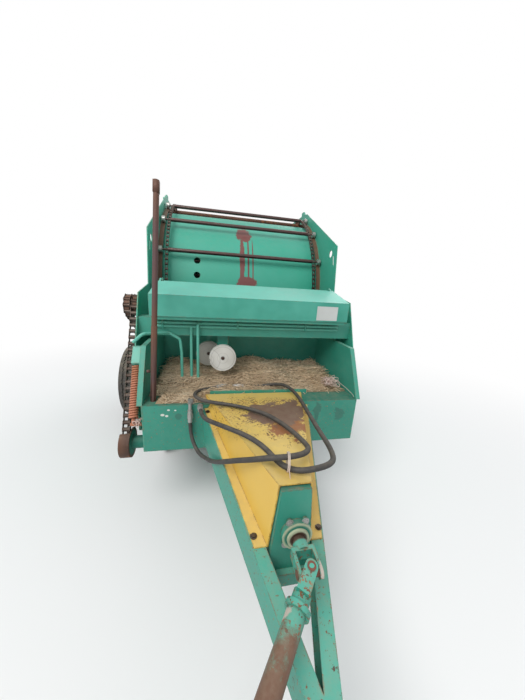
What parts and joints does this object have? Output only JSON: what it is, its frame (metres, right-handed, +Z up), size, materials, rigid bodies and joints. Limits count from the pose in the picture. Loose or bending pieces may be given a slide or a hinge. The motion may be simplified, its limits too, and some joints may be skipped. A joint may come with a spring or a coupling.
{
  "type": "round baler",
  "caption": "Towed round baler with a chain-and-rod bale chamber, hinged tailgate, tined pickup, twine box and V-shaped drawbar on a parking stand.",
  "frame": {"origin": "on the ground, on the centre plane, midway between the foremost and rearmost points", "axes": "-Y is the way it travels, +X its left side, +Z up"},
  "size_m": [2.3014, 4.1989, 2.265],
  "materials": {
    "green_paint": "faded green paint with rust at its edges",
    "light_green_paint": "faded light green paint",
    "yellow_paint": "worn yellow paint, rusted through in patches",
    "bare_steel": "worn dark steel",
    "rusty_steel": "rusty steel",
    "tyre_rubber": "dusty black rubber",
    "pale_plastic": "pale grey plastic",
    "hose_rubber": "black hose rubber",
    "zinc_steel": "bright zinc-plated steel"
  },
  "bodies": {
    "chassis": {"chamber_wall_left": "green_paint", "chamber_wall_right": "green_paint", "front_sheet": "green_paint", "front_conveyor": "rusty_steel", "front_rods": "rusty_steel", "front_loop_shafts": "rusty_steel", "floor_rollers": "bare_steel", "front_apron": "green_paint", "side_rails": "green_paint", "axle": "green_paint", "front_beam": "green_paint", "side_cheeks": "green_paint", "platform": "green_paint", "cross_tube": "green_paint", "twine_box": "green_paint", "hydraulic_pipes": "light_green_paint", "twine_bracket": "green_paint", "drawbar": "green_paint", "hitch_eye": "green_paint", "drawbar_cover": "yellow_paint", "gearbox": "green_paint", "pto_input_shaft": "bare_steel", "bearing_plate": "green_paint", "drive_sprockets": "rusty_steel", "drive_chains": "rusty_steel", "mast": "rusty_steel", "feed_pan": "green_paint", "spring_bracket": "light_green_paint", "tension_spring": "rusty_steel", "hose_fittings": "zinc_steel", "hose_a": "hose_rubber", "hose_b": "hose_rubber"},
    "tailgate": {"gate_wall_left": "green_paint", "gate_wall_right": "green_paint", "gate_skin": "green_paint", "gate_conveyor": "rusty_steel", "gate_rods": "rusty_steel", "gate_loop_shafts": "rusty_steel"},
    "ram_barrel_left": {"ram_barrel_left": "green_paint"},
    "ram_barrel_right": {"ram_barrel_right": "green_paint"},
    "ram_rod_left": {"ram_rod_left": "zinc_steel"},
    "ram_rod_right": {"ram_rod_right": "zinc_steel"},
    "wheel_left": {"tyre_left": "tyre_rubber", "rim_left": "green_paint"},
    "wheel_right": {"tyre_right": "tyre_rubber", "rim_right": "green_paint"},
    "hood_lid": {"hood_lid": "green_paint"},
    "twine_pulley_front": {"twine_pulley_front": "pale_plastic"},
    "twine_pulley_rear": {"twine_pulley_rear": "pale_plastic"},
    "stand_leg": {"stand_leg": "green_paint"},
    "pto_cross": {"pto_cross": "rusty_steel"},
    "pto_shaft": {"pto_shaft": "rusty_steel"},
    "pickup": {"pickup_frame": "green_paint", "pickup_hoops": "green_paint"},
    "pickup_reel": {"pickup_reel": "bare_steel"},
    "gauge_wheel_left": {"gauge_wheel_left": "tyre_rubber"},
    "gauge_wheel_right": {"gauge_wheel_right": "tyre_rubber"}
  },
  "joints": [
    {"name": "tailgate_open", "type": "hinge", "parent": "chassis", "child": "tailgate", "pos_m": [0, 1.055, 2.235], "axis": [1, 0, 0], "range_deg": [0, 62]},
    {"name": "ram_swing_left", "type": "hinge", "parent": "chassis", "child": "ram_barrel_left", "pos_m": [0.762, 0.77, 0.9], "axis": [1, 0, 0], "range_deg": [-4, 4]},
    {"name": "ram_slide_left", "type": "slide", "parent": "ram_barrel_left", "child": "ram_rod_left", "axis": [0, 0.5214, 0.8533], "range_m": [0, 0.6]},
    {"name": "ram_swing_right", "type": "hinge", "parent": "chassis", "child": "ram_barrel_right", "pos_m": [-0.762, 0.77, 0.9], "axis": [1, 0, 0], "range_deg": [-4, 4]},
    {"name": "ram_slide_right", "type": "slide", "parent": "ram_barrel_right", "child": "ram_rod_right", "axis": [0, 0.5214, 0.8533], "range_m": [0, 0.6]},
    {"name": "wheel_spin_left", "type": "hinge", "parent": "chassis", "child": "wheel_left", "pos_m": [1.02, 0.93, 0.385], "axis": [1, 0, 0], "continuous": true},
    {"name": "wheel_spin_right", "type": "hinge", "parent": "chassis", "child": "wheel_right", "pos_m": [-1.02, 0.93, 0.385], "axis": [1, 0, 0], "continuous": true},
    {"name": "hood_lid_open", "type": "hinge", "parent": "chassis", "child": "hood_lid", "pos_m": [0, -0.075, 1.461], "axis": [-1, 0, 0], "range_deg": [0, 80]},
    {"name": "twine_pulley_front_spin", "type": "hinge", "parent": "chassis", "child": "twine_pulley_front", "pos_m": [-0.194, -0.307, 1], "axis": [0, -1, 0], "continuous": true},
    {"name": "twine_pulley_rear_spin", "type": "hinge", "parent": "chassis", "child": "twine_pulley_rear", "pos_m": [-0.285, -0.145, 0.985], "axis": [0, -1, 0], "continuous": true},
    {"name": "stand_fold", "type": "hinge", "parent": "chassis", "child": "stand_leg", "pos_m": [0, -1.64, 0.415], "axis": [1, 0, 0], "range_deg": [0, 88]},
    {"name": "pto_lift", "type": "hinge", "parent": "chassis", "child": "pto_cross", "pos_m": [0.01, -1.395, 0.7], "axis": [-1, 0, 0], "range_deg": [0, 30]},
    {"name": "pto_turn", "type": "hinge", "parent": "pto_cross", "child": "pto_shaft", "pos_m": [0.01, -1.395, 0.7], "axis": [0, -0.1823, 0.9832], "range_deg": [0, 35]},
    {"name": "pickup_lift", "type": "hinge", "parent": "chassis", "child": "pickup", "pos_m": [0, 0.54, 0.49], "axis": [-1, 0, 0], "range_deg": [0, 13]},
    {"name": "pickup_reel_spin", "type": "hinge", "parent": "pickup", "child": "pickup_reel", "pos_m": [0, 0.15, 0.33], "axis": [1, 0, 0], "continuous": true},
    {"name": "gauge_wheel_spin_left", "type": "hinge", "parent": "pickup", "child": "gauge_wheel_left", "pos_m": [0.655, 0.21, 0.156], "axis": [1, 0, 0], "continuous": true},
    {"name": "gauge_wheel_spin_right", "type": "hinge", "parent": "pickup", "child": "gauge_wheel_right", "pos_m": [-0.655, 0.21, 0.156], "axis": [1, 0, 0], "continuous": true}
  ],
  "couplings": [
    {"joint": "ram_swing_left", "follows": "tailgate_open", "ratio": 0.02025},
    {"joint": "ram_slide_left", "follows": "tailgate_open", "m_per_rad": 0.48417},
    {"joint": "ram_swing_right", "follows": "tailgate_open", "ratio": 0.02025},
    {"joint": "ram_slide_right", "follows": "tailgate_open", "m_per_rad": 0.48417}
  ]
}
